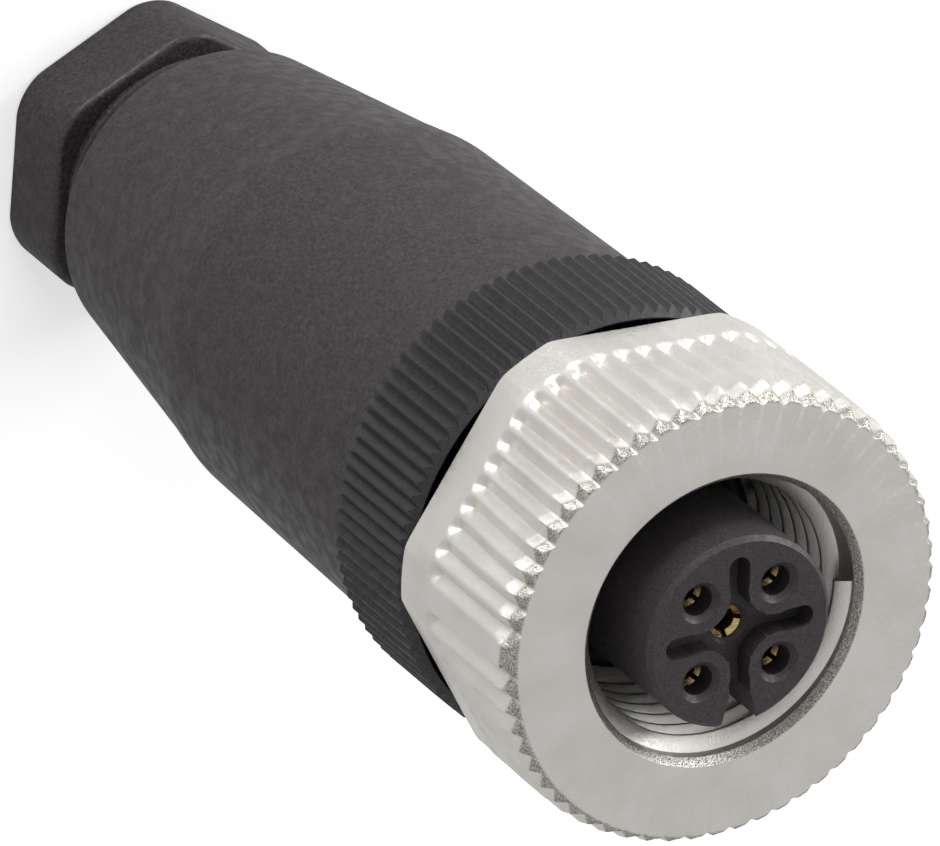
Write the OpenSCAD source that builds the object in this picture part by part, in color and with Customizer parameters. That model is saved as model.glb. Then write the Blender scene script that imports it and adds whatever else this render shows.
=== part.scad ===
// Field-wireable M12 socket connector: five poles, A-coded, screw terminals and cable gland.
// It stands on the hex head of its pressure screw, with its axis on +Z and its mating face up.
// The coding notch of the insert points to -Y.

/* [Pressure screw] */
// Width across the flats of the hex head
hex_af = 12.2; // [12:0.1:13]
// Diameter to which the corners of the hex head are turned
hex_corner_d = 13.5; // [13:0.1:14]
// Height of the hex head
head_h = 4.0; // [3:0.1:5]
// Largest cable that passes through the screw
cable_d = 6.6; // [5:0.1:7]
// Outer diameter of the gland thread
gland_d = 12.0; // [11.8:0.1:12.4]
// Length of the threaded shank
shank_len = 6.1; // [5.7:0.1:6.5]

/* [Sleeve] */
// Length of the sleeve
sleeve_len = 28.44; // [28.2:0.02:30]
// Diameter of the sleeve at its rear edge
sleeve_rear_d = 13.8; // [13.4:0.1:14.2]
// Thickness of the sleeve round the body thread
sleeve_wall = 1.2; // [1.1:0.05:1.3]
// Distance from the rear edge to where the taper ends
taper_len = 12.65; // [11:0.05:13]
// Distance in from the front edge's surface where the taper ends
taper_step = 0.28; // [0.2:0.02:0.4]
// Distance from the rear edge to where the taper is steepened
kink_len = 10.3; // [9:0.1:10.5]
// Distance in from the front edge's surface where the taper is steepened
kink_step = 0.68; // [0.6:0.02:0.8]
// Radius of the rounding at the rear edge
rear_edge_r = 0.5; // [0.3:0.05:0.6]

/* [Grip body] */
// Height of the nut's ribs over the teeth of the knurled grip ring
ring_step = 0.33; // [0.2:0.01:0.4]
// Length of the knurled grip ring
ring_len = 5.76; // [5.4:0.02:6.2]
// Number of teeth of the grip ring
ring_teeth = 96; // [72:4:100]
// Depth of the grooves between the teeth of the grip ring
ring_groove_depth = 0.27; // [0.2:0.01:0.3]
// Diameter of the terminal block
block_d = 14.0; // [13.8:0.05:14.0]
// Length of the terminal block behind the body thread
block_len = 8.5; // [8.3:0.1:9]
// Height of the body thread over the terminal block
thread_step = 0.75; // [0.7:0.05:0.8]

/* [Coupling nut] */
// Diameter over the ribs of the nut
nut_d = 19.9; // [19.7:0.02:20.2]
// Length of the nut
nut_len = 8.6; // [8.4:0.1:9.5]
// Depth of the flats at the rear rim of the nut
flat_depth = 0.85; // [0.65:0.05:0.95]
// Angle at which the flats run out towards the front
flat_slope = 6; // [5:0.5:7]
// Number of places for a groove round the nut
nut_places = 60; // [48:6:60]
// Depth of the grooves between the ribs
nut_groove_depth = 0.42; // [0.3:0.01:0.45]
// Length of the smooth rim behind the ribs
rim_len = 2.1; // [1.8:0.05:2.4]
// Root diameter of the coupling thread
nut_bore_d = 12.1; // [12:0.05:12.3]
// Thickness of the inner lip that pulls on the insert
lip_t = 0.55; // [0.45:0.05:0.7]
// Depth of the chamfer round the front face
nut_chamfer = 0.45; // [0.3:0.05:0.6]

/* [Mating face] */
// Diameter of the insert's nose
nose_d = 8.3; // [8.2:0.02:8.4]
// Distance that the nose stands out of the nut
nose_proud = 1.15; // [0.8:0.05:1.4]
// Diameter of the circle on which the outer sockets lie
pin_circle_d = 5.0; // [4.9:0.02:5.1]
// Diameter of the pins that the sockets take
pin_d = 1.0; // [0.8:0.02:1.1]
// Diameter of the insert's face holes
face_hole_d = 1.3; // [1.2:0.02:1.4]
// Diameter of the countersinks of the face holes
face_csk_d = 1.8; // [1.7:0.02:1.9]
// Depth of the cross-shaped recess in the face
recess_depth = 0.95; // [0.6:0.05:1.1]
// Width of the recess's arms
recess_w = 0.95; // [0.8:0.05:1.1]
// Half the width of the coding notch at the rim
notch_half_w = 0.9; // [0.7:0.05:1.0]

/* [Terminals] */
// Diameter of the contacts' stems
stem_d = 1.7; // [1.6:0.02:1.74]
// Diameter of the outer terminals
terminal_d = 2.9; // [2.8:0.02:3.0]
// Diameter of the centre terminal
centre_terminal_d = 2.6; // [2.4:0.02:2.64]
// Length of the terminals
terminal_len = 5.5; // [5.2:0.1:5.8]
// Distance of the outer terminals from the axis
terminal_r = 3.9; // [3.85:0.01:3.95]
// Diameter of the wire holes
wire_d = 1.5; // [1.3:0.05:1.6]
// Outer diameter of the terminal screws' thread
clamp_d = 1.9; // [1.7:0.05:2.0]
// Diameter of the terminal screws' heads
clamp_head_d = 3.0; // [2.8:0.05:3.1]
// Height of the terminal screws' heads
clamp_head_h = 1.0; // [0.8:0.05:1.05]

/* [Clearances] */
// Gap between the hex head and the sleeve
head_gap = 2.2; // [1.8:0.05:2.6]
// Gap between the sleeve and the grip ring
seat_gap = 0.1; // [0.06:0.02:0.3]
// Gap between the grip ring and the nut
nut_gap = 0.4; // [0.3:0.05:0.5]
// Radial clearance of the threads
thread_clear = 0.07; // [0.04:0.01:0.1]
// Radial clearance of pieces that turn or slide in each other
run_clear = 0.05; // [0.03:0.01:0.08]
// Radial gap round the terminal block in the wire chamber
chamber_gap = 0.3; // [0.3:0.05:0.4]

/* [Hidden] */
$fn = 96;
eps = 0.01;

// Diameters that follow from the nut and the terminal block
nut_af = nut_d - 2 * flat_depth;
ring_d = nut_d - 2 * ring_step;
body_thread_d = block_d + 2 * thread_step;
sleeve_front_d = body_thread_d + 2 * sleeve_wall;
taper_d = sleeve_front_d - 2 * taper_step;
kink_d = sleeve_front_d - 2 * kink_step;

// Levels along the axis, from the rear
sleeve_z = head_h + head_gap;
sleeve_top = sleeve_z + sleeve_len;
ring_z = sleeve_top + seat_gap;
ring_top = ring_z + ring_len;
nut_z = ring_top + nut_gap;
nut_top = nut_z + nut_len;
nose_top = nut_top + nose_proud;

// Turn of each piece about the axis, measured from +X
hex_turn = 54.8;
nut_turn = 25.4;
ring_turn = 133.9;
plain_place = 25;
flare_angle = 9;
flare_over = 0.15;

// Neck and flange that trap the nut between the insert and the grip ring
neck_r = 4.85;
lip_bore_r = neck_r + 0.1;
neck_z = ring_top - 5.0;
flange_z = nut_z + lip_t + run_clear;
flange_t = 0.45;
flange_r = lip_bore_r + 0.35;
seal_section = 0.9;

// Thread, seal groove and terminal block of the grip body
seal_groove_len = 1.14;
thread_len = 5.1;
land_top = ring_z - seal_groove_len;
land_z = land_top - thread_len;
block_z = land_z - block_len;
land_r = body_thread_d / 2 - thread_clear;
seal_groove_r = block_d / 2 + 0.1;
sleeve_seal_section = 0.9;
body_bore_r = land_r + thread_clear;

// Terminals and their screws
terminal_z = block_z + 2.0;
terminal_top = terminal_z + terminal_len;
clamp_z = terminal_z + 2.2;
stem_z = terminal_top - 1.5;
socket_top = nose_top - recess_depth - 0.25;
clamp_head_r = terminal_r + terminal_d / 2 + 0.4;
clamp_seat_r = clamp_head_r - 0.15;
outer_tip_r = terminal_r + wire_d / 2 - 0.45;
wire_depth = 4.5;

// Hollows of the sleeve
gland_bore_r = gland_d / 2;
gland_thread_len = 5.2;
cage_bore_r = gland_bore_r - 0.15;
cage_bore_len = 2.3;
wedge_r = 5.3;
wedge_len = 1.9;
passage_r = 3.7;
passage_len = 1.1;
shoulder_z = sleeve_z + gland_thread_len + cage_bore_len + wedge_len;
chamber_r = max(block_d / 2, clamp_head_r + clamp_head_h) + chamber_gap;
chamber_z = shoulder_z + passage_len + 2.4;

// Gland pieces
shank_top = head_h + shank_len;
cage_z = shank_top + run_clear;
cage_base_t = 1.2;
cage_fingers = 8;
finger_slot = 0.5;
finger_top = shoulder_z - wedge_len + 1.0;
cable_seal_z = cage_z + cage_base_t + 0.3;
cable_seal_top = shoulder_z - 0.3;
cable_seal_r = 4.7;
cable_bore_r = cable_d / 2;
cable_seal_bore_r = cable_bore_r - 0.3;

function socket_a(i) = 45 + 90 * i;

// Angle from the middle of the nearest flat of the nut
function from_flat(a) = abs((a + 30) % 60 - 30);

// Radius of the nut's outer surface at an angle from a flat's middle and at a height in the nut
function nut_surface(b, z) = min(nut_d / 2, (nut_af / 2 + z * tan(flat_slope)) / cos(b));

module ring(r_out, r_in, z, h) {
    translate([0, 0, z]) difference() {
        cylinder(r = r_out, h = h);
        translate([0, 0, -1]) cylinder(r = r_in, h = h + 2);
    }
}

module o_ring(r_in, section, z) {
    translate([0, 0, z + section / 2]) rotate_extrude()
        translate([r_in + section / 2, 0]) circle(d = section, $fn = 48);
}

// Regular hexagon whose corners are turned to a circle, one flat's middle on +X
module turned_hexagon(af, corner_d) {
    intersection() {
        polygon([for (k = [0:5]) af / 2 / cos(30) * [cos(60 * k + 30), sin(60 * k + 30)]]);
        circle(d = corner_d);
    }
}

// Cutter for one groove: a V along +Z with a round rear end, opening out towards the front
module groove_cutter(length) {
    over = 0.08;
    reach = nut_groove_depth + over;
    linear_extrude(length + 1)
        polygon([[-nut_groove_depth, 0], [over, reach], [over, -reach]]);
    translate([-nut_groove_depth, 0, 0]) rotate([0, 90, 0]) cylinder(r1 = 0, r2 = reach, h = reach);
    translate([-nut_groove_depth, 0, length - 1.2]) rotate([0, -flare_angle, 0]) linear_extrude(3)
        polygon([[0, 0], [reach + flare_over, reach + flare_over], [reach + flare_over, -reach - flare_over]]);
}

module coupling_nut() {
    edge_r = nut_d / 2 - nut_chamfer;
    front = nut_len - 0.35;
    start = rim_len + nut_groove_depth;
    run = front - start;
    color([0.80, 0.79, 0.76]) difference() {
        translate([0, 0, nut_z]) rotate_extrude() difference() {
            polygon([[lip_bore_r, 0], [nut_d / 2 - 0.15, 0], [nut_d / 2, 0.15],
                [nut_d / 2, nut_len - nut_chamfer], [edge_r, nut_len - 0.1],
                [edge_r - 0.25, nut_len], [lip_bore_r, nut_len]]);
            polygon([[0, lip_t], [nut_bore_d / 2, lip_t], [nut_bore_d / 2, nut_len - 0.35],
                [nut_bore_d / 2 + 0.31, nut_len], [nut_bore_d / 2 + 0.31, nut_len + 1],
                [0, nut_len + 1]]);
        }
        for (k = [0:5]) rotate([0, 0, nut_turn + 60 * k]) translate([nut_af / 2, 0, nut_z])
            rotate([0, flat_slope, 0]) translate([0, -nut_d, -nut_len]) cube([nut_d, 2 * nut_d, 4 * nut_len]);
        for (i = [0:nut_places - 1]) if (i != plain_place) {
            b = from_flat(360 / nut_places * i);
            r0 = nut_surface(b, start);
            r1 = nut_surface(b, front);
            rotate([0, 0, nut_turn + 360 / nut_places * i]) translate([r0, 0, nut_z + start])
                rotate([0, atan((r1 - r0) / run), 0]) groove_cutter(run);
        }
    }
}

// Arms of the recess, without the rounds left standing about the sockets
module recess_shape() {
    difference() {
        union() {
            circle(r = 1.3);
            for (k = [0:2]) rotate(90 * k) {
                translate([0, -recess_w / 2]) square([3.35 - recess_w / 2, recess_w]);
                translate([3.35 - recess_w / 2, 0]) circle(d = recess_w, $fn = 32);
            }
            translate([-recess_w / 2, -3.0]) square([recess_w, 3.0]);
        }
        for (i = [0:3]) rotate(socket_a(i)) translate([pin_circle_d / 2, 0]) circle(r = 1.35);
    }
}

module face_hole(top) {
    translate([0, 0, socket_top - eps]) cylinder(d = face_hole_d, h = top - socket_top + 1);
    translate([0, 0, top - 0.25]) cylinder(d1 = face_hole_d, d2 = face_csk_d, h = 0.25);
    translate([0, 0, top - eps]) cylinder(d = face_csk_d, h = 1);
}

module contact_insert() {
    nose_r = nose_d / 2;
    stem_hole_d = stem_d + 2 * run_clear;
    color([0.10, 0.09, 0.09]) difference() {
        rotate_extrude() polygon([[0, neck_z], [neck_r - 0.2, neck_z], [neck_r, neck_z + 0.2],
            [neck_r, flange_z], [flange_r, flange_z], [flange_r, flange_z + flange_t],
            [nose_r, flange_z + flange_t], [nose_r, nose_top - 0.2], [nose_r - 0.2, nose_top],
            [0, nose_top]]);
        translate([0, 0, nose_top - recess_depth]) linear_extrude(2) recess_shape();
        translate([0, 0, flange_z + flange_t + seal_section + 0.2]) linear_extrude(20)
            polygon([[-0.43, -2.55], [0.43, -2.55], [notch_half_w, -nose_r],
                [notch_half_w + 0.1, -nose_r - 1], [-notch_half_w - 0.1, -nose_r - 1],
                [-notch_half_w, -nose_r]]);
        for (i = [0:3]) rotate([0, 0, socket_a(i)]) translate([pin_circle_d / 2, 0, 0]) {
            translate([0, 0, neck_z - 1]) cylinder(d = stem_hole_d, h = socket_top + run_clear - neck_z + 1);
            face_hole(nose_top);
        }
        translate([0, 0, neck_z - 1]) cylinder(d = stem_hole_d, h = socket_top + run_clear - neck_z + 1);
        face_hole(nose_top - recess_depth);
    }
}

module nose_seal() {
    color([0.06, 0.06, 0.06]) o_ring(nose_d / 2 + run_clear, seal_section, flange_z + flange_t + eps);
}

// Knurled ring: straight V grooves, with both edges chamfered
module grip_ring() {
    r = ring_d / 2;
    step = 360 / ring_teeth;
    half = ring_groove_depth * 1.05;
    intersection() {
        translate([0, 0, ring_z]) linear_extrude(ring_len) difference() {
            circle(r = r);
            for (i = [0:ring_teeth - 1]) rotate(ring_turn + step * i)
                polygon([[r - ring_groove_depth, 0], [r + 0.1, -half - 0.1], [r + 0.1, half + 0.1]]);
        }
        translate([0, 0, ring_z]) rotate_extrude() polygon([[0, 0], [r - 0.15, 0], [r + 0.05, 0.2],
            [r - 0.02, ring_len - 0.4], [r - 0.4, ring_len], [0, ring_len]]);
    }
}

module clamp_hole(a, from_r) {
    rotate([0, 0, a]) translate([from_r, 0, clamp_z]) rotate([0, 90, 0])
        cylinder(d = clamp_d + 2 * run_clear, h = block_d / 2 - from_r + 1);
    rotate([0, 0, a]) translate([clamp_seat_r, 0, clamp_z]) rotate([0, 90, 0])
        cylinder(d = clamp_head_d + 0.3, h = 3);
}

module terminal_hole(d) {
    translate([0, 0, block_z - 1]) cylinder(d = d + 2 * run_clear, h = terminal_top + run_clear - block_z + 1);
    translate([0, 0, block_z - eps]) cylinder(d1 = d + 0.6, d2 = d + 2 * run_clear, h = 0.3);
}

module grip_body() {
    stem_hole_d = stem_d + 2 * run_clear;
    color([0.13, 0.12, 0.12]) difference() {
        union() {
            grip_ring();
            rotate_extrude() polygon([[0, block_z], [block_d / 2 - 0.3, block_z],
                [block_d / 2, block_z + 0.3], [block_d / 2, land_z], [land_r - 0.3, land_z],
                [land_r, land_z + 0.3], [land_r, land_top], [seal_groove_r, land_top],
                [seal_groove_r, ring_z + eps], [0, ring_z + eps]]);
        }
        translate([0, 0, neck_z]) cylinder(r = neck_r + run_clear, h = 10);
        for (i = [0:3]) rotate([0, 0, socket_a(i)]) {
            translate([terminal_r, 0, 0]) terminal_hole(terminal_d);
            translate([pin_circle_d / 2, 0, stem_z - run_clear])
                cylinder(d = stem_hole_d, h = neck_z - stem_z + 1);
            clamp_hole(0, terminal_r);
        }
        terminal_hole(centre_terminal_d);
        translate([0, 0, terminal_top]) cylinder(d = stem_hole_d, h = neck_z - terminal_top + 1);
        clamp_hole(270, 0);
    }
}

// One contact, its stem on the local axis: slotted socket in front, screw terminal behind
module contact(offset_r, d) {
    color([0.83, 0.68, 0.36]) difference() {
        union() {
            translate([0, 0, stem_z]) cylinder(d = stem_d, h = socket_top - stem_z);
            translate([offset_r, 0, terminal_z]) cylinder(d = d, h = terminal_len);
        }
        translate([0, 0, socket_top - 5.5]) cylinder(d = pin_d + 0.04, h = 6);
        translate([0, 0, socket_top - 0.2]) cylinder(d1 = pin_d, d2 = pin_d + 0.5, h = 0.25);
        for (a = [0, 90]) rotate([0, 0, a]) translate([-2, -0.1, socket_top - 4]) cube([4, 0.2, 5]);
        translate([offset_r, 0, terminal_z - eps]) cylinder(d = wire_d, h = wire_depth);
        translate([offset_r, 0, clamp_z]) rotate([0, 90, 0])
            cylinder(d = clamp_d + 2 * run_clear, h = d);
    }
}

module outer_contact(i) {
    rotate([0, 0, socket_a(i)]) translate([pin_circle_d / 2, 0, 0])
        contact(terminal_r - pin_circle_d / 2, terminal_d);
}

module contact_1() { outer_contact(0); }
module contact_2() { outer_contact(1); }
module contact_3() { outer_contact(2); }
module contact_4() { outer_contact(3); }
module contact_5() { rotate([0, 0, 270]) contact(0, centre_terminal_d); }

// Slotted clamping screw that points to the axis
module terminal_screw(a, tip_r) {
    color([0.75, 0.74, 0.70]) rotate([0, 0, a]) difference() {
        translate([0, 0, clamp_z]) rotate([0, 90, 0]) rotate_extrude() polygon([[0, tip_r],
            [clamp_d / 2 - 0.25, tip_r], [clamp_d / 2, tip_r + 0.25], [clamp_d / 2, clamp_head_r],
            [clamp_head_d / 2, clamp_head_r], [clamp_head_d / 2, clamp_head_r + clamp_head_h - 0.15],
            [clamp_head_d / 2 - 0.15, clamp_head_r + clamp_head_h], [0, clamp_head_r + clamp_head_h]]);
        translate([clamp_head_r + clamp_head_h - 0.5, -0.25, clamp_z - 3]) cube([2, 0.5, 6]);
    }
}

module terminal_screw_1() { terminal_screw(socket_a(0), outer_tip_r); }
module terminal_screw_2() { terminal_screw(socket_a(1), outer_tip_r); }
module terminal_screw_3() { terminal_screw(socket_a(2), outer_tip_r); }
module terminal_screw_4() { terminal_screw(socket_a(3), outer_tip_r); }
module terminal_screw_5() { terminal_screw(270, wire_d / 2 - 0.45); }

module sleeve_seal() {
    color([0.06, 0.06, 0.06]) o_ring(seal_groove_r + run_clear, sleeve_seal_section,
        land_top + (seal_groove_len - sleeve_seal_section) / 2);
}

module housing_sleeve() {
    rear_r = sleeve_rear_d / 2;
    front_r = sleeve_front_d / 2;
    wedge_z = shoulder_z - wedge_len;
    color([0.17, 0.15, 0.15]) rotate_extrude() difference() {
        union() {
            polygon([[3, sleeve_z], [rear_r - rear_edge_r, sleeve_z], [rear_r, sleeve_z + rear_edge_r],
                [kink_d / 2, sleeve_z + kink_len], [taper_d / 2, sleeve_z + taper_len],
                [front_r, sleeve_top - 0.1], [front_r - 0.1, sleeve_top], [3, sleeve_top]]);
            translate([rear_r - rear_edge_r, sleeve_z + rear_edge_r]) circle(r = rear_edge_r, $fn = 32);
        }
        polygon([[0, sleeve_z - 1], [gland_bore_r + 0.3, sleeve_z - 1], [gland_bore_r + 0.3, sleeve_z],
            [gland_bore_r, sleeve_z + 0.3], [gland_bore_r, sleeve_z + gland_thread_len],
            [cage_bore_r, sleeve_z + gland_thread_len], [cage_bore_r, wedge_z],
            [wedge_r, shoulder_z], [passage_r, shoulder_z], [passage_r, shoulder_z + passage_len],
            [chamber_r, chamber_z], [chamber_r, land_z - 0.4], [body_bore_r, land_z],
            [body_bore_r, land_top - 0.2], [body_bore_r + 0.55, land_top - 0.2],
            [body_bore_r + 0.55, sleeve_top + 1], [0, sleeve_top + 1]]);
    }
}

module cable_seal() {
    mid = (cable_seal_z + cable_seal_top) / 2;
    color([0.08, 0.08, 0.08]) rotate_extrude() polygon([[cable_seal_bore_r + 0.4, cable_seal_z],
        [cable_seal_r, cable_seal_z], [cable_seal_r, cable_seal_top - 0.5],
        [cable_seal_r - 0.4, cable_seal_top], [cable_seal_bore_r + 0.4, cable_seal_top],
        [cable_seal_bore_r, cable_seal_top - 0.5], [cable_seal_bore_r + 0.25, mid],
        [cable_seal_bore_r, cable_seal_z + 0.5]]);
}

module clamping_cage() {
    finger_in = cable_seal_r + 0.3;
    finger_out = cage_bore_r - 0.15;
    slot_z = cage_z + cage_base_t;
    color([0.80, 0.80, 0.78]) difference() {
        union() {
            ring(cage_bore_r - run_clear, cable_bore_r, cage_z, cage_base_t);
            translate([0, 0, slot_z - eps]) rotate_extrude() polygon([[finger_in, 0], [finger_out, 0],
                [finger_out, finger_top - slot_z - 0.6], [finger_out - 0.4, finger_top - slot_z],
                [finger_in, finger_top - slot_z]]);
        }
        for (k = [0:cage_fingers / 2 - 1]) rotate([0, 0, 180 / cage_fingers * 2 * k])
            translate([-8, -finger_slot / 2, slot_z]) cube([16, finger_slot, 10]);
    }
}

module pressure_screw() {
    shank_r = gland_bore_r - run_clear;
    corner = hex_corner_d / 2;
    color([0.14, 0.12, 0.12]) difference() {
        union() {
            intersection() {
                linear_extrude(head_h) rotate(hex_turn) turned_hexagon(hex_af, hex_corner_d);
                rotate_extrude() polygon([[0, 0], [corner - 0.45, 0], [corner + 0.05, 0.3],
                    [corner + 0.05, head_h - 0.2], [corner - 0.2, head_h], [0, head_h]]);
            }
            translate([0, 0, head_h - eps]) rotate_extrude() polygon([[0, 0], [shank_r - 0.35, 0],
                [shank_r - 0.35, 0.5], [shank_r, 0.85], [shank_r, shank_len - 0.3],
                [shank_r - 0.3, shank_len], [0, shank_len]]);
        }
        translate([0, 0, -1]) cylinder(r = cable_bore_r, h = head_h + shank_len + 2);
        translate([0, 0, -eps]) cylinder(r1 = cable_bore_r + 0.8, r2 = cable_bore_r, h = 0.8);
    }
}

coupling_nut();
contact_insert();
nose_seal();
grip_body();
contact_1();
contact_2();
contact_3();
contact_4();
contact_5();
terminal_screw_1();
terminal_screw_2();
terminal_screw_3();
terminal_screw_4();
terminal_screw_5();
sleeve_seal();
housing_sleeve();
cable_seal();
clamping_cage();
pressure_screw();
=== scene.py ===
import math

import bpy
from mathutils import Matrix, Vector


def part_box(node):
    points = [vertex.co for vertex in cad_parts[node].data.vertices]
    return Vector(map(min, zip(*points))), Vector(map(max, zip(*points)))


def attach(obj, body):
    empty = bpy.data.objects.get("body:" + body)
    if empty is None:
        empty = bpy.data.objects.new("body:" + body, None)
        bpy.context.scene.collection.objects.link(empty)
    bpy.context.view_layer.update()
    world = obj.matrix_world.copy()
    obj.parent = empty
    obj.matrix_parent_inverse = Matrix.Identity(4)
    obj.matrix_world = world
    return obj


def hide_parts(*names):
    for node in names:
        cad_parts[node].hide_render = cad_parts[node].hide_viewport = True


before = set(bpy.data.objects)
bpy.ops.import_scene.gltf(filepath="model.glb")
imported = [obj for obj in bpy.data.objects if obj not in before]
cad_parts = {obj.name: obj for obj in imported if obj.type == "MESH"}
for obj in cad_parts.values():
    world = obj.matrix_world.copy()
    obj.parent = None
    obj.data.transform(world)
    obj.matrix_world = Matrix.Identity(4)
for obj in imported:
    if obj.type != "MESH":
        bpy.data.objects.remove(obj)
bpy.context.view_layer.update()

MM = 0.001
TAU = 2 * math.pi

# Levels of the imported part, in millimetres


def low_z(node):
    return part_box(node)[0].z / MM


def high_z(node):
    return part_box(node)[1].z / MM


NUT_REAR = low_z("coupling_nut")
NUT_FRONT = high_z("coupling_nut")
SLEEVE_REAR = low_z("housing_sleeve")
SLEEVE_FRONT = high_z("housing_sleeve")
RING_FRONT = high_z("grip_body")
RING_REAR = SLEEVE_FRONT + 0.1
SCREW_TOP = high_z("pressure_screw")


# ---- making pieces ----------------------------------------------------------------------

def deselect():
    if bpy.context.object and bpy.context.object.mode != "OBJECT":
        bpy.ops.object.mode_set(mode="OBJECT")
    bpy.ops.object.select_all(action="DESELECT")


def hold(piece):
    """Makes the piece the only selected one."""
    deselect()
    piece.select_set(True)
    bpy.context.view_layer.objects.active = piece


def settle(piece):
    """Puts the piece's place, turn and scale into its mesh."""
    hold(piece)
    bpy.ops.object.transform_apply(location=True, rotation=True, scale=True)


def clean(piece, smooth_angle=30):
    """Merges doubles, turns the faces outwards and smooths all but the sharp edges."""
    hold(piece)
    bpy.ops.object.mode_set(mode="EDIT")
    bpy.ops.mesh.select_all(action="SELECT")
    bpy.ops.mesh.remove_doubles(threshold=0.00001 * MM * 100)
    bpy.ops.mesh.normals_make_consistent(inside=False)
    bpy.ops.object.mode_set(mode="OBJECT")
    bpy.ops.object.shade_smooth_by_angle(angle=math.radians(smooth_angle))


def apply(piece, modifier):
    hold(piece)
    bpy.ops.object.modifier_apply(modifier=modifier.name)


def join(pieces, name):
    deselect()
    for piece in pieces:
        piece.select_set(True)
    bpy.context.view_layer.objects.active = pieces[0]
    bpy.ops.object.join()
    pieces[0].name = name
    return pieces[0]


def combine(target, cutter, operation="DIFFERENCE"):
    """Boolean of one piece with another, which is used up."""
    modifier = target.modifiers.new("cut", "BOOLEAN")
    modifier.operation = operation
    modifier.solver = "EXACT"
    modifier.object = cutter
    apply(target, modifier)
    hold(cutter)
    bpy.ops.object.delete()
    return target


def round_edges(piece, width, angle=35, segments=2):
    modifier = piece.modifiers.new("round", "BEVEL")
    modifier.width = width * MM
    modifier.segments = segments
    modifier.limit_method = "ANGLE"
    modifier.angle_limit = math.radians(angle)
    modifier.use_clamp_overlap = True
    modifier.miter_outer = "MITER_ARC"
    apply(piece, modifier)


def cylinder(r, z0, z1, sides=96, x=0, y=0, r_top=None):
    """Upright cylinder or cone in millimetres."""
    deselect()
    bpy.ops.mesh.primitive_cone_add(
        vertices=sides, radius1=r * MM, radius2=(r if r_top is None else r_top) * MM,
        depth=(z1 - z0) * MM, location=(x * MM, y * MM, (z0 + z1) / 2 * MM))
    piece = bpy.context.object
    settle(piece)
    return piece


def rounded(outline, steps=5):
    """The corners (radius, height, fillet) of a closed outline, each rounded by its fillet."""
    points = []
    for i, (r, z, fillet) in enumerate(outline):
        corner = Vector((r, z))
        if not fillet:
            points.append(corner)
            continue
        back = (Vector(outline[i - 1][:2]) - corner).normalized()
        ahead = (Vector(outline[(i + 1) % len(outline)][:2]) - corner).normalized()
        half = back.angle(ahead) / 2
        centre = corner + (back + ahead).normalized() * fillet / math.sin(half)
        start = corner + back * fillet / math.tan(half) - centre
        end = corner + ahead * fillet / math.tan(half) - centre
        for k in range(steps + 1):
            points.append(centre + start.lerp(end, k / steps).normalized() * fillet)
    return points


def turned(name, points, steps=256, smooth_angle=30):
    """Turns a closed outline of (radius, height) points round the axis."""
    mesh = bpy.data.meshes.new(name)
    count = len(points)
    mesh.from_pydata([(p[0] * MM, 0, p[1] * MM) for p in points],
                     [(i, (i + 1) % count) for i in range(count)], [])
    piece = bpy.data.objects.new(name, mesh)
    bpy.context.scene.collection.objects.link(piece)
    hold(piece)
    bpy.ops.object.mode_set(mode="EDIT")
    bpy.ops.mesh.select_all(action="SELECT")
    bpy.ops.mesh.spin(steps=steps, angle=TAU, center=(0, 0, 0), axis=(0, 0, 1))
    clean(piece, smooth_angle)
    return piece


def coil(name, section, pitch, turns, start_z, steps=128, phase=0):
    """Sweeps a closed section of (radius, height) points up a helix."""
    mesh = bpy.data.meshes.new(name)
    count = len(section)
    c, s = math.cos(phase), math.sin(phase)
    mesh.from_pydata([(r * c * MM, r * s * MM, (start_z + z) * MM) for r, z in section], [],
                     [tuple(range(count))])
    piece = bpy.data.objects.new(name, mesh)
    bpy.context.scene.collection.objects.link(piece)
    hold(piece)
    screw = piece.modifiers.new("coil", "SCREW")
    screw.angle = TAU * turns
    screw.screw_offset = pitch * MM * turns
    screw.steps = screw.render_steps = int(steps * turns)
    screw.axis = "Z"
    screw.use_normal_calculate = True
    apply(piece, screw)
    clean(piece)
    return piece


def dress(piece, body, slot_name, material, *nodes):
    """Gives a finished piece its material and its body, and hides the solids it stands for."""
    piece.data.materials.clear()
    piece.data.materials.append(material)
    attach(piece, body)
    if nodes:
        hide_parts(*nodes)
    return piece


# ---- finishes ---------------------------------------------------------------------------

def new_material(name):
    material = bpy.data.materials.new(name)
    material.use_nodes = True
    tree = material.node_tree
    return material, tree, tree.nodes["Principled BSDF"]


def add(tree, kind, inputs=None, **settings):
    node = tree.nodes.new(kind)
    for key, value in settings.items():
        setattr(node, key, value)
    for key, value in (inputs or {}).items():
        if isinstance(value, bpy.types.NodeSocket):
            tree.links.new(value, node.inputs[key])
        else:
            node.inputs[key].default_value = value
    return node


def place(tree):
    return add(tree, "ShaderNodeTexCoord").outputs["Object"]


def noise(tree, scale, detail=2, rough=0.5, vector=None):
    return add(tree, "ShaderNodeTexNoise", {"Vector": vector or place(tree), "Scale": scale,
                                            "Detail": detail, "Roughness": rough})


def ramp(tree, factor, *stops):
    """Colour ramp from (position, colour) stops."""
    node = add(tree, "ShaderNodeValToRGB", {"Fac": factor})
    elements = node.color_ramp.elements
    while len(elements) < len(stops):
        elements.new(0.5)
    for element, (position, colour) in zip(elements, stops):
        element.position = position
        element.color = (*colour, 1) if len(colour) == 3 else colour
    return node.outputs["Color"]


def span(tree, value, low, high, to_low=0.0, to_high=1.0):
    return add(tree, "ShaderNodeMapRange", {"Value": value, "From Min": low, "From Max": high,
                                            "To Min": to_low, "To Max": to_high},
               interpolation_type="SMOOTHSTEP").outputs["Result"]


def sums(tree, operation, *values):
    node = add(tree, "ShaderNodeMath", operation=operation)
    for socket, value in zip(node.inputs, values):
        if isinstance(value, bpy.types.NodeSocket):
            tree.links.new(value, socket)
        else:
            socket.default_value = value
    return node.outputs[0]


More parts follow.
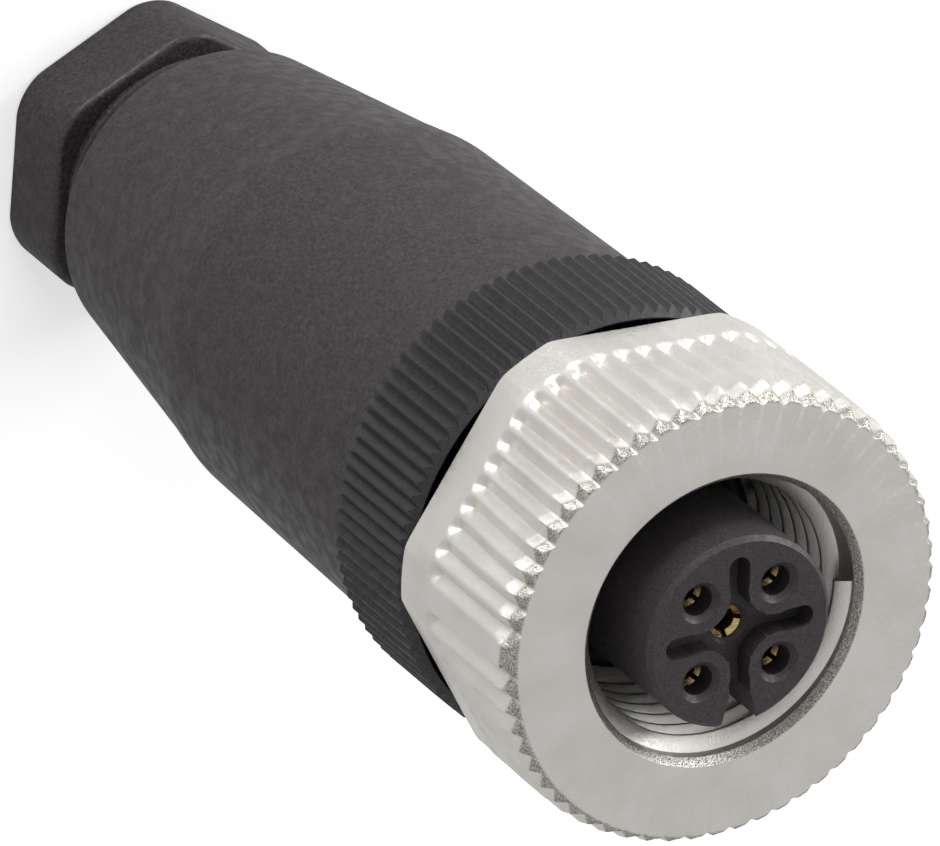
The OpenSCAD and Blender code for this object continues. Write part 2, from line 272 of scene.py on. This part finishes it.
def blend_colour(tree, factor, first, second, mode="MIX"):
    node = add(tree, "ShaderNodeMix", data_type="RGBA", blend_type=mode)
    for key, value in ((0, factor), (6, first), (7, second)):
        if isinstance(value, bpy.types.NodeSocket):
            tree.links.new(value, node.inputs[key])
        elif key:
            node.inputs[key].default_value = (*value, 1)
        else:
            node.inputs[key].default_value = value
    return node.outputs[2]


def bump(tree, height, strength, distance):
    return add(tree, "ShaderNodeBump", {"Height": height, "Strength": strength,
                                        "Distance": distance * MM}).outputs["Normal"]


def grained_plastic(name, dark, light, grain, strength, rough=(0.42, 0.6), depth=0.03):
    """Moulded plastic with the fine grain of a spark-eroded mould; grain is its size in mm."""
    material, tree, shader = new_material(name)
    fine = noise(tree, 1 / (grain * MM), 3, 0.55)
    coarse = noise(tree, 0.25 / (grain * MM), 2, 0.5)
    cells = add(tree, "ShaderNodeTexVoronoi", {"Vector": place(tree), "Scale": 0.8 / (grain * MM)})
    height = sums(tree, "ADD", fine.outputs["Fac"],
                  sums(tree, "MULTIPLY", cells.outputs["Distance"], 0.5))
    colour = ramp(tree, fine.outputs["Fac"], (0.35, dark), (0.65, light))
    colour = blend_colour(tree, sums(tree, "MULTIPLY", coarse.outputs["Fac"], 0.35), colour, dark)
    tree.links.new(colour, shader.inputs["Base Color"])
    tree.links.new(span(tree, coarse.outputs["Fac"], 0.3, 0.7, *rough), shader.inputs["Roughness"])
    tree.links.new(bump(tree, height, strength, depth), shader.inputs["Normal"])
    return material


def plain_plastic(name, colour, rough, sheen_noise=0.08):
    material, tree, shader = new_material(name)
    drift = noise(tree, 900, 3).outputs["Fac"]
    tree.links.new(blend_colour(tree, span(tree, drift, 0.3, 0.7, 0, 0.3), colour,
                                tuple(c * 1.5 for c in colour)), shader.inputs["Base Color"])
    tree.links.new(span(tree, drift, 0.3, 0.7, rough - sheen_noise, rough + sheen_noise),
                   shader.inputs["Roughness"])
    tree.links.new(bump(tree, noise(tree, 6000, 2).outputs["Fac"], 0.25, 0.01),
                   shader.inputs["Normal"])
    return material


def plated(name, colour, rough, grain=0.12, strength=0.35):
    """Plated metal with a slightly pebbled surface."""
    material, tree, shader = new_material(name)
    shader.inputs["Metallic"].default_value = 1.0
    fine = noise(tree, 1 / (grain * MM), 3, 0.6).outputs["Fac"]
    broad = noise(tree, 350, 2).outputs["Fac"]
    tree.links.new(blend_colour(tree, span(tree, broad, 0.35, 0.65), colour,
                                tuple(c * 0.92 for c in colour)), shader.inputs["Base Color"])
    tree.links.new(span(tree, fine, 0.3, 0.7, rough - 0.06, rough + 0.1),
                   shader.inputs["Roughness"])
    tree.links.new(bump(tree, fine, strength, 0.02), shader.inputs["Normal"])
    return material


def pearly_nickel():
    """Grainy satin nickel of the coupling nut, with painted shade and coarser grain
    on its outer chamfer by the front face and on the chamfer of its bore."""
    material, tree, shader = new_material("pearly_nickel")
    where = place(tree)
    axes = add(tree, "ShaderNodeSeparateXYZ", {"Vector": where})
    x, y, z = axes.outputs
    radius = sums(tree, "SQRT", sums(tree, "ADD", sums(tree, "MULTIPLY", x, x),
                                     sums(tree, "MULTIPLY", y, y)))
    fine = noise(tree, 9000, 3, 0.6, where).outputs["Fac"]
    sparkle = noise(tree, 16000, 2, 0.7, where).outputs["Fac"]
    broad = noise(tree, 500, 3, 0.5, where).outputs["Fac"]
    base = ramp(tree, broad, (0.3, (0.78, 0.755, 0.71)), (0.7, (0.86, 0.84, 0.80)))
    # painted shade with coarser grain: dark grainy bands on the outer chamfer by the front face and
    # on the chamfer of the bore
    outer = sums(tree, "MULTIPLY", span(tree, radius, 9.32 * MM, 9.45 * MM),
                 span(tree, z, (NUT_FRONT - 0.62) * MM, (NUT_FRONT - 0.42) * MM))
    bore = sums(tree, "MULTIPLY", span(tree, radius, 6.32 * MM, 6.38 * MM, 1, 0),
                span(tree, z, (NUT_FRONT - 0.42) * MM, (NUT_FRONT - 0.3) * MM))
    chamfer_shade_and_grain = sums(tree, "MAXIMUM", outer, bore)
    # painted shade: dark grainy specks mixed into the chamfer bands
    shade_speck = ramp(tree, sparkle, (0.42, (0.10, 0.085, 0.07)), (0.62, (0.75, 0.72, 0.66)))
    base = blend_colour(tree, sums(tree, "MULTIPLY", chamfer_shade_and_grain, 0.8), base, shade_speck)
    tree.links.new(base, shader.inputs["Base Color"])
    shader.inputs["Metallic"].default_value = 1.0
    tree.links.new(span(tree, fine, 0.3, 0.7, 0.3, 0.5), shader.inputs["Roughness"])
    height = sums(tree, "ADD", fine, sums(tree, "MULTIPLY", sparkle,
                                          sums(tree, "ADD", sums(tree, "MULTIPLY", chamfer_shade_and_grain, 2.5), 0.3)))
    tree.links.new(bump(tree, height, 0.5, 0.02), shader.inputs["Normal"])
    return material


# ---- coupling nut -----------------------------------------------------------------------

NUT_R = 9.95
NUT_FLAT = 9.1
FLAT_RISE = math.tan(math.radians(6))
NUT_TURN = math.radians(25.4)
PLACES = 60
PLAIN_PLACE = 25
VALLEY_DEPTH = 0.42
VALLEY_SLOPE = math.tan(math.radians(47))
RIB_REAR = NUT_REAR + 2.1
THREAD_ROOT = 6.05
THREAD_CREST = 5.46
LIP_R = 4.95


def soft_min(a, b, round_over):
    """The smaller of two, blended over a short way."""
    return (a + b - math.hypot(a - b, round_over)) / 2


def nut_skin(angle, z, profile_r):
    """Radius of the nut's ribbed outside at an angle and height in mm."""
    turn = (angle - NUT_TURN) % TAU
    sector = TAU / 6
    from_flat = abs((turn + sector / 2) % sector - sector / 2)
    flat = (NUT_FLAT + (z - NUT_REAR) * FLAT_RISE) / math.cos(from_flat)
    crest = soft_min(NUT_R, flat, 0.04)
    place_step = TAU / PLACES
    nearest = round(turn / place_step)
    depth = 0.0
    if nearest % PLACES != PLAIN_PLACE:
        aside = (turn - nearest * place_step) * crest
        pocket_z = RIB_REAR + VALLEY_DEPTH * VALLEY_SLOPE
        run = math.hypot(aside, min(0.0, z - pocket_z))
        flare = max(0.0, z - (NUT_FRONT - 1.15)) * 0.22
        run = math.hypot(run, 0.03)
        depth = VALLEY_DEPTH + flare - run / VALLEY_SLOPE * (1 - flare * 0.9)
        depth = (depth + math.hypot(depth, 0.035)) / 2
        depth = min(depth, VALLEY_DEPTH + flare)
    return soft_min(profile_r, crest - depth, 0.02)


def nut_outline():
    """Outline of the nut: bore, front face, outside from the front to the rear rim, lip."""
    front = NUT_FRONT
    skin = [front - 0.45 - 0.07 * k for k in range(1, 12)]
    skin += [skin[-1] - 0.9 * k for k in range(1, 5)]
    skin += [RIB_REAR + 0.72 - 0.09 * k for k in range(0, 10)]
    skin = [z for z in skin if z > NUT_REAR + 0.4]
    inside = rounded([(LIP_R, NUT_REAR, 0.1), (LIP_R, NUT_REAR + 0.55, 0.05),
                      (THREAD_ROOT, NUT_REAR + 0.55, 0), (THREAD_ROOT, front - 0.35, 0.04),
                      (THREAD_ROOT + 0.31, front, 0.06), (9.42, front, 0.26),
                      (NUT_R, front - 0.45, 0.06), (NUT_R, NUT_REAR, 0.15)], 4)
    top = [p for p in inside if p[0] < NUT_R - 0.2 or p[1] > front - 0.52]
    rim = [p for p in inside if p not in top]
    return top + [Vector((NUT_R, z)) for z in skin] + rim


def make_nut():
    nut = turned("coupling_nut_body", nut_outline(), steps=PLACES * 14, smooth_angle=40)
    for vertex in nut.data.vertices:
        x, y, z = (c / MM for c in vertex.co)
        r = math.hypot(x, y)
        if r > 9.2:
            angle = math.atan2(y, x)
            scale = nut_skin(angle, z, r) / r
            vertex.co.x *= scale
            vertex.co.y *= scale
    hold(nut)
    bpy.ops.object.shade_smooth_by_angle(angle=math.radians(50))
    return nut


def make_nut_thread():
    """Six turns of the 1 mm coupling thread inside the nut."""
    half = 0.43
    root = THREAD_ROOT + 0.02
    section = [(root, -half), (root, half), (THREAD_CREST + 0.04, 0.1), (THREAD_CREST, 0.05),
               (THREAD_CREST, -0.05), (THREAD_CREST + 0.04, -0.1)]
    return coil("coupling_thread", section, 1.0, 6.0, NUT_FRONT - 7.15 + 0.25, 120)


# ---- grip body, sleeve and gland --------------------------------------------------------

RING_R = 9.62
TEETH = 96
TOOTH_DEPTH = 0.27
RING_TURN = math.radians(133.9)


def make_grip_ring():
    """Knurled ring: V valleys between flat-topped teeth."""
    skin = [RING_FRONT - 0.45 - 0.55 * k for k in range(0, 9)]
    ring = turned("grip_ring", rounded([
        (5.2, RING_REAR, 0), (5.2, RING_FRONT, 0), (RING_R - 0.42, RING_FRONT, 0.08),
        (RING_R - 0.03, RING_FRONT - 0.4, 0.08)], 3) + [Vector((RING_R - 0.02, z)) for z in skin]
        + rounded([(RING_R, RING_REAR + 0.2, 0.05), (RING_R - 0.2, RING_REAR, 0.05),
                   (5.2, RING_REAR, 0)], 3)[:-1], steps=TEETH * 8)
    step = TAU / TEETH
    for vertex in ring.data.vertices:
        x, y, z = (c / MM for c in vertex.co)
        r = math.hypot(x, y)
        if r > 9.0:
            turn = (math.atan2(y, x) - RING_TURN) % step
            aside = min(turn, step - turn) * r
            depth = TOOTH_DEPTH - math.hypot(aside, 0.02) / 1.02
            depth = (depth + math.hypot(depth, 0.03)) / 2
            scale = soft_min(r, RING_R - depth, 0.015) / r
            vertex.co.x *= scale
            vertex.co.y *= scale
    hold(ring)
    bpy.ops.object.shade_smooth_by_angle(angle=math.radians(50))
    return ring


def make_sleeve():
    low = SLEEVE_REAR
    top = SLEEVE_FRONT
    return turned("sleeve_shell", rounded([
        (6.0, low, 0.12), (6.9, low, 0.45), (8.27, low + 10.3, 5.0), (8.67, low + 12.65, 4.0),
        (8.95, top, 0.12), (8.28, top, 0.05), (8.28, top - 1.44, 0), (7.75, top - 1.44, 0),
        (7.75, low + 22.3, 0), (7.3, low + 21.9, 0), (7.3, low + 12.9, 0.5), (3.7, low + 10.5, 0),
        (3.7, low + 9.4, 0), (5.3, low + 9.4, 0), (5.85, low + 7.5, 0), (5.85, low + 5.2, 0),
        (6.0, low + 5.2, 0)], 6), steps=256)


HEX_AF = 12.2
HEX_CORNER_R = 2.3
HEX_TURN = 54.8
HEAD_H = 4.0
CABLE_R = 3.3


def make_pressure_screw():
    """Hex head with rounded corners, bored through, with its threaded shank."""
    deselect()
    bpy.ops.mesh.primitive_cylinder_add(
        vertices=6, radius=HEX_AF / 2 / math.cos(TAU / 12) * MM, depth=HEAD_H * MM,
        location=(0, 0, HEAD_H / 2 * MM))
    screw = bpy.context.object
    screw.name = "gland_pressure_screw"
    settle(screw)
    first = screw.data.vertices[0].co
    lean = math.radians(HEX_TURN + 30) - math.atan2(first.y, first.x)
    screw.data.transform(Matrix.Rotation(lean, 4, "Z"))
    hold(screw)
    bpy.ops.object.mode_set(mode="EDIT")
    bpy.ops.mesh.select_all(action="DESELECT")
    bpy.ops.mesh.select_mode(type="EDGE")
    bpy.ops.object.mode_set(mode="OBJECT")
    for edge in screw.data.edges:
        a, b = (screw.data.vertices[v].co for v in edge.vertices)
        edge.select = abs(a.z - b.z) > HEAD_H * MM / 2
    bpy.ops.object.mode_set(mode="EDIT")
    bpy.ops.mesh.bevel(offset=HEX_CORNER_R * math.tan(TAU / 12) * MM, segments=14,
                       affect="EDGES")
    bpy.ops.object.mode_set(mode="OBJECT")
    round_edges(screw, 0.28, 60, 4)
    shank = turned("shank", rounded([
        (0, HEAD_H - 0.5, 0), (5.55, HEAD_H - 0.5, 0), (5.55, SCREW_TOP - 0.3, 0),
        (5.35, SCREW_TOP, 0), (0, SCREW_TOP, 0)]), steps=128)
    screw = combine(screw, shank, "UNION")
    screw = combine(screw, cylinder(CABLE_R, -1, SCREW_TOP + 1, 96))
    screw = combine(screw, cylinder(CABLE_R + 0.8, -0.001, 0.8, 96, r_top=CABLE_R))
    ridges = coil("gland_thread", [(5.5, -0.4), (5.5, 0.4), (5.95, 0.06), (5.95, -0.06)],
                  1.0, 3.6, HEAD_H + 0.45, 96)
    clean(screw, 30)
    return join([screw, ridges], "gland_pressure_screw")


# ---- the connector ----------------------------------------------------------------------

nickel = pearly_nickel()
sleeve_plastic = grained_plastic("sleeve_plastic", (0.012, 0.009, 0.010), (0.050, 0.040, 0.043),
                                 0.16, 0.6)
grip_plastic = grained_plastic("grip_plastic", (0.010, 0.009, 0.009), (0.032, 0.028, 0.029),
                               0.10, 0.35, depth=0.02)
insert_plastic = grained_plastic("insert_plastic", (0.016, 0.013, 0.015), (0.060, 0.050, 0.056),
                                 0.07, 0.4, depth=0.015)
seal_rubber = plain_plastic("seal_rubber", (0.012, 0.012, 0.012), 0.55)
cage_plastic = plain_plastic("cage_plastic", (0.62, 0.61, 0.57), 0.4)
gold = plated("contact_gold", (0.83, 0.62, 0.28), 0.25)
zinc = plated("screw_zinc", (0.62, 0.61, 0.58), 0.3)

dress(make_nut(), "nut", "nickel", nickel, "coupling_nut")
dress(make_nut_thread(), "nut", "nickel", nickel)
dress(make_grip_ring(), "carrier", "body_plastic", grip_plastic)
dress(make_sleeve(), "sleeve", "sleeve_plastic", sleeve_plastic, "housing_sleeve")
dress(make_pressure_screw(), "gland_screw", "sleeve_plastic", sleeve_plastic, "pressure_screw")

carried = {"contact_insert": insert_plastic, "grip_body": grip_plastic,
           "nose_seal": seal_rubber, "sleeve_seal": seal_rubber,
           "cable_seal": seal_rubber, "clamping_cage": cage_plastic}
carried.update({f"contact_{i}": gold for i in range(1, 6)})
carried.update({f"terminal_screw_{i}": zinc for i in range(1, 6)})
for node, material in carried.items():
    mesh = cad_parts[node].data
    mesh.materials.clear()
    mesh.materials.append(material)


# ---- floor, light and camera ------------------------------------------------------------

VIEW_AZIMUTH = math.radians(133.4)
VIEW_LEAN = math.radians(38.62)
VIEW_ROLL = math.radians(39.18)
VIEW_DISTANCE = 612.0
SENSOR_W = 36.0
FRAME_W = 940
FOCAL_PX = 15500.0
AIM_RIGHT, AIM_DOWN = 10.08, 7.82

to_camera = Vector((math.sin(VIEW_LEAN) * math.cos(VIEW_AZIMUTH),
                    math.sin(VIEW_LEAN) * math.sin(VIEW_AZIMUTH), math.cos(VIEW_LEAN)))
ahead = -to_camera
rise = (Vector((0, 0, 1)) - to_camera * math.cos(VIEW_LEAN)) / math.sin(VIEW_LEAN)
side = ahead.cross(rise)
right = math.cos(VIEW_ROLL) * rise - math.sin(VIEW_ROLL) * side
down = math.sin(VIEW_ROLL) * rise + math.cos(VIEW_ROLL) * side


def make_camera():
    camera = bpy.data.cameras.new("camera")
    camera.sensor_width = SENSOR_W
    camera.sensor_fit = "HORIZONTAL"
    camera.lens = FOCAL_PX / FRAME_W * SENSOR_W
    camera.clip_start = 0.01
    camera.clip_end = 20
    holder = bpy.data.objects.new("camera", camera)
    bpy.context.scene.collection.objects.link(holder)
    face = Vector((0, 0, NUT_FRONT))
    spot = (face - right * AIM_RIGHT - down * AIM_DOWN - ahead * VIEW_DISTANCE) * MM
    turn = Matrix((right, -down, -ahead)).transposed().to_4x4()
    holder.matrix_world = Matrix.Translation(spot) @ turn
    bpy.context.scene.camera = holder
    return holder


def make_floor():
    deselect()
    bpy.ops.mesh.primitive_circle_add(vertices=96, radius=1.2, fill_type="NGON")
    floor = bpy.context.object
    floor.name = "floor"
    material, tree, shader = new_material("pale_floor")
    shader.inputs["Base Color"].default_value = (0.8, 0.8, 0.8, 1)
    shader.inputs["Roughness"].default_value = 0.9
    shader.inputs["Specular IOR Level"].default_value = 0.0
    shader.inputs["Emission Color"].default_value = (1, 1, 1, 1)
    rays = add(tree, "ShaderNodeLightPath")
    seen = sums(tree, "MAXIMUM", rays.outputs["Is Camera Ray"], 0.0)
    tree.links.new(sums(tree, "MULTIPLY", seen, 0.45), shader.inputs["Emission Strength"])
    floor.data.materials.append(material)


def make_light(name, across, up, toward, size, power, aim=(0, 0, 30), height=None):
    """Area lamp placed by its distance right of, above and towards the camera from the aim."""
    lamp = bpy.data.lights.new(name, "AREA")
    lamp.shape = "RECTANGLE" if height else "SQUARE"
    lamp.size = size * MM
    if height:
        lamp.size_y = height * MM
    lamp.energy = power
    holder = bpy.data.objects.new(name, lamp)
    bpy.context.scene.collection.objects.link(holder)
    goal = Vector(aim)
    spot = goal + right * across - down * up + to_camera * toward
    holder.matrix_world = (Matrix.Translation(spot * MM)
                           @ (goal - spot).to_track_quat("-Z", "Y").to_matrix().to_4x4())


def make_world():
    world = bpy.data.worlds.new("studio")
    bpy.context.scene.world = world
    world.use_nodes = True
    tree = world.node_tree
    back = tree.nodes["Background"]
    back.inputs["Color"].default_value = (1, 1, 1, 1)
    rays = add(tree, "ShaderNodeLightPath")
    seen = rays.outputs["Is Camera Ray"]
    tree.links.new(sums(tree, "ADD", 0.55, sums(tree, "MULTIPLY", seen, 0.45)),
                   back.inputs["Strength"])


make_camera()
make_floor()
make_world()
make_light("key", -60, 260, 160, 200, 1.1)
make_light("rim", 260, 120, 20, 160, 0.5)

scene = bpy.context.scene
scene.view_settings.view_transform = "Standard"
